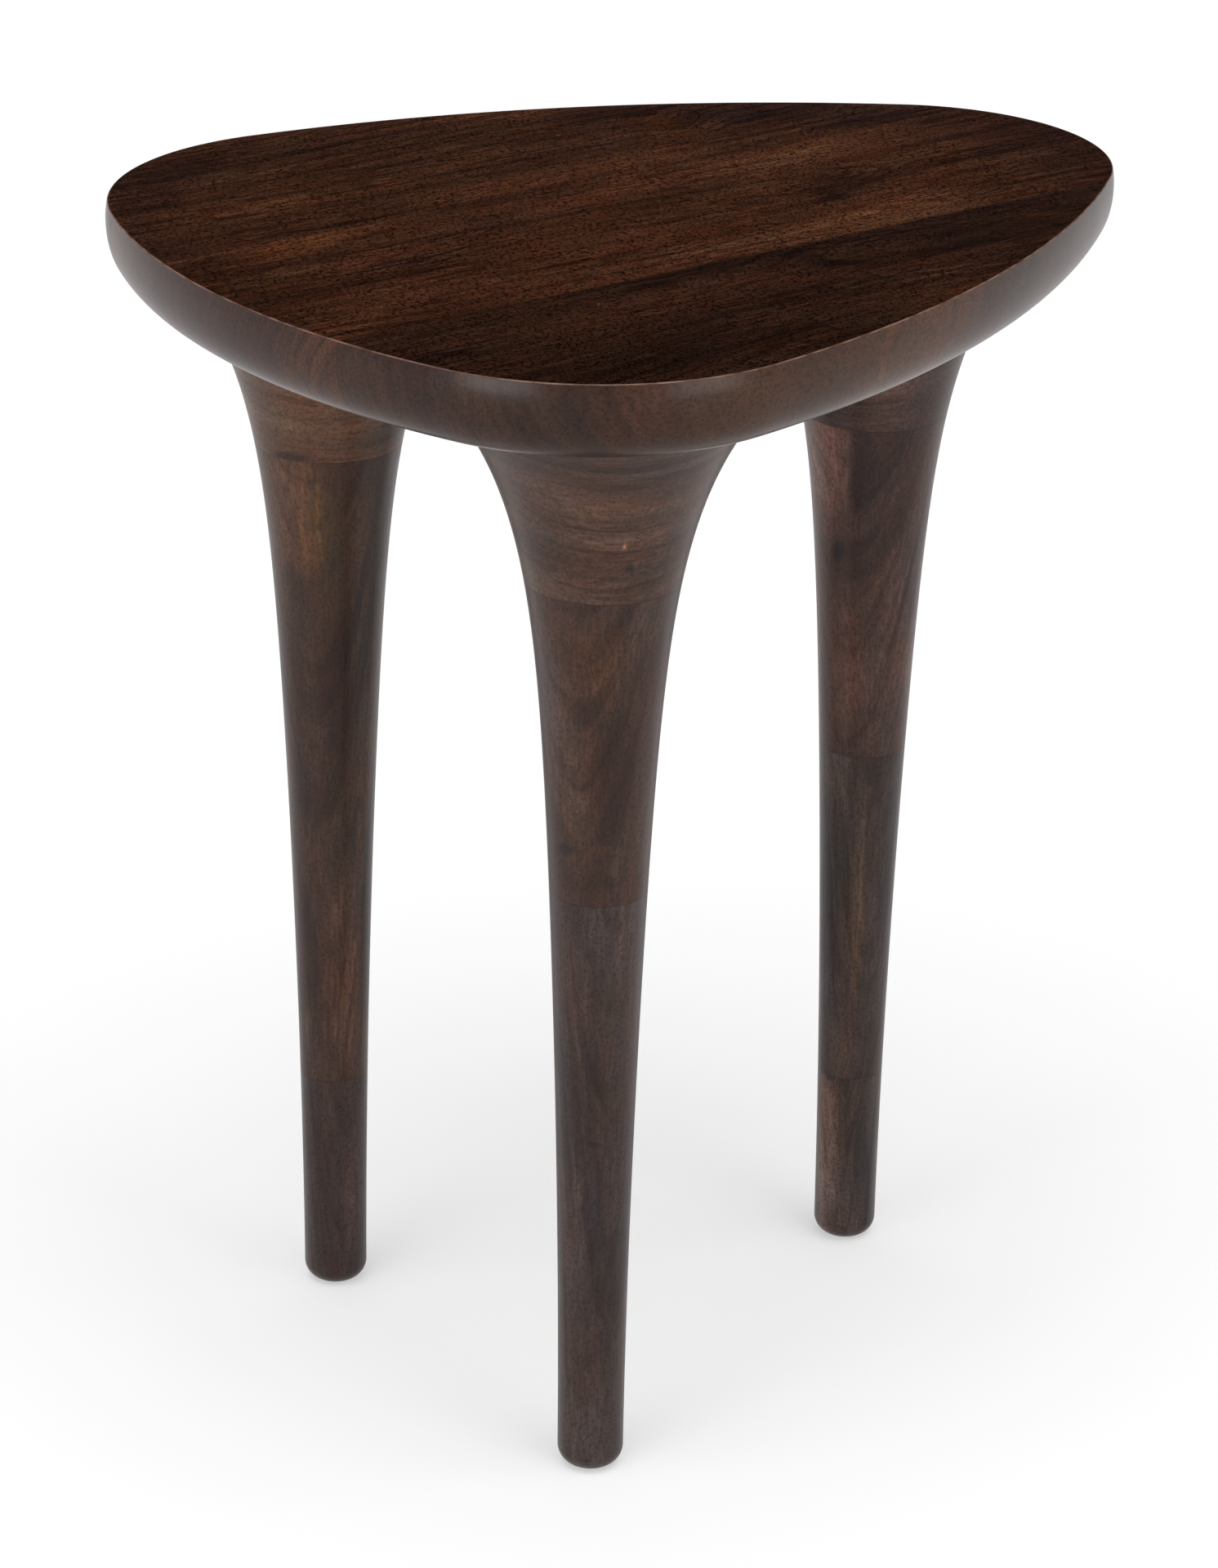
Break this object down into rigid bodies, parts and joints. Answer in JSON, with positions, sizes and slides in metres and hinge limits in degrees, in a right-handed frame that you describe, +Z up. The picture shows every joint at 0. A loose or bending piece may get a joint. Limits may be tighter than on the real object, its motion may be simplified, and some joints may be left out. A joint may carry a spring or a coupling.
{
  "type": "side table",
  "caption": "Triangular side table: a rounded-triangle glued board top with an undercut edge, screwed to slim trumpet-turned legs.",
  "frame": {"origin": "on the floor under the middle of the top's box", "axes": "+Z up; +X along the mirror axis of the top towards its narrow tip, under which one leg stands; +Y across, towards the back leg"},
  "size_m": [0.464, 0.4, 0.55],
  "materials": {
    "top_wood_dark": "dark brown stain, satin lacquer",
    "top_wood_light": "reddish brown stain, satin lacquer",
    "top_wood_mid": "brown stain, satin lacquer",
    "head_wood": "warm brown stain, satin lacquer",
    "shaft_wood": "greyish brown stain, satin lacquer",
    "dowel_wood": "bare pale hardwood",
    "bolt_steel": "plain steel",
    "insert_zinc": "cast zinc"
  },
  "bodies": {
    "root": {"top_board_front": "top_wood_dark", "top_board_middle": "top_wood_light", "top_board_back": "top_wood_mid", "front_leg_head_block": "head_wood", "front_leg_upper_shaft": "shaft_wood", "front_leg_lower_shaft": "shaft_wood", "front_leg_upper_shaft_dowel": "dowel_wood", "front_leg_lower_shaft_dowel": "dowel_wood", "front_leg_hanger_bolt": "bolt_steel", "front_leg_threaded_insert": "insert_zinc", "back_leg_head_block": "head_wood", "back_leg_upper_shaft": "shaft_wood", "back_leg_lower_shaft": "shaft_wood", "back_leg_upper_shaft_dowel": "dowel_wood", "back_leg_lower_shaft_dowel": "dowel_wood", "back_leg_hanger_bolt": "bolt_steel", "back_leg_threaded_insert": "insert_zinc", "tip_leg_head_block": "head_wood", "tip_leg_upper_shaft": "shaft_wood", "tip_leg_middle_shaft": "shaft_wood", "tip_leg_lower_shaft": "shaft_wood", "tip_leg_upper_shaft_dowel": "dowel_wood", "tip_leg_middle_shaft_dowel": "dowel_wood", "tip_leg_lower_shaft_dowel": "dowel_wood", "tip_leg_hanger_bolt": "bolt_steel", "tip_leg_threaded_insert": "insert_zinc"}
  },
  "joints": []
}
